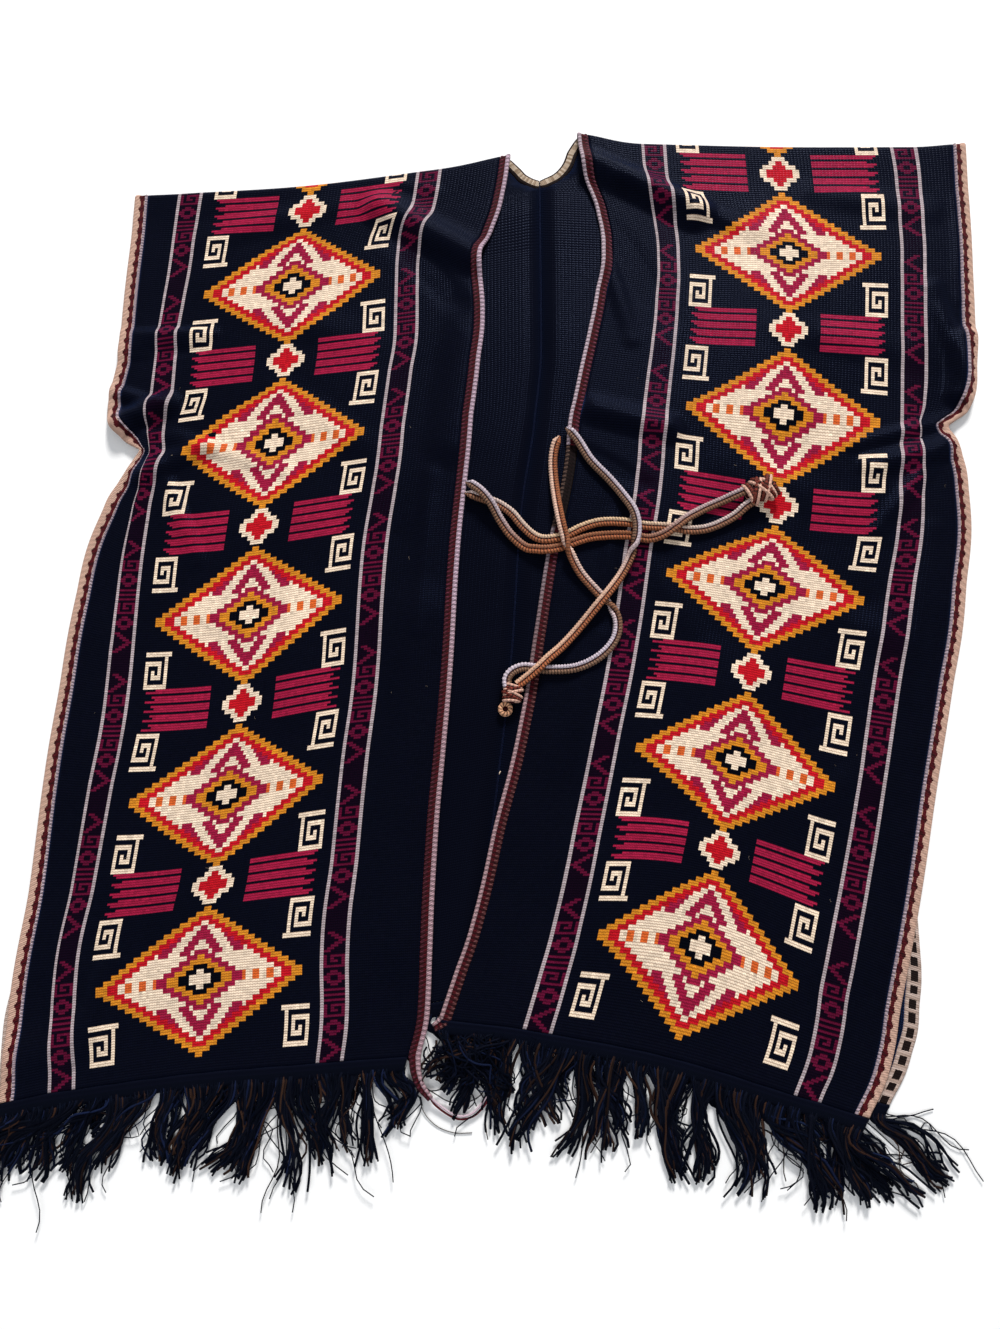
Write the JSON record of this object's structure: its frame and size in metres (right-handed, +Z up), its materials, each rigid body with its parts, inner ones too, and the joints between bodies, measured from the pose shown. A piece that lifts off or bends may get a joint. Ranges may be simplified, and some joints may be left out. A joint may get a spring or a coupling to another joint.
{
  "type": "cardigan poncho",
  "caption": "Sleeveless open-front knitted poncho with edged sides, fringed hems and two knotted ties, laid flat with its fronts on its back.",
  "frame": {"origin": "on the surface that the garment lies on, under the middle of its box", "axes": "+Y from the hems to the shoulders, +X to the right of someone who looks down from the hems, +Z up"},
  "size_m": [0.8823, 0.9498, 0.0223],
  "materials": {
    "cloth": "near-black navy acrylic knit with a soft blue sheen and coloured figures",
    "side_band": "cream knitted band with a column of dark red diamonds",
    "front_braid": "dark red and pale lilac braid",
    "fringe": "near-black twisted yarn",
    "tie": "cream, black and tan braid"
  },
  "bodies": {
    "root": {"left_panel": "cloth", "right_panel": "cloth", "left_side_band": "side_band", "right_side_band": "side_band", "left_front_braid": "front_braid", "right_front_braid": "front_braid", "front_left_fringe": "fringe", "front_right_fringe": "fringe", "back_left_fringe": "fringe", "back_right_fringe": "fringe", "left_tie_a": "tie", "left_tie_b": "tie", "right_tie_a": "tie", "right_tie_b": "tie", "left_tie_knot": "tie", "right_tie_knot": "tie"}
  },
  "joints": []
}
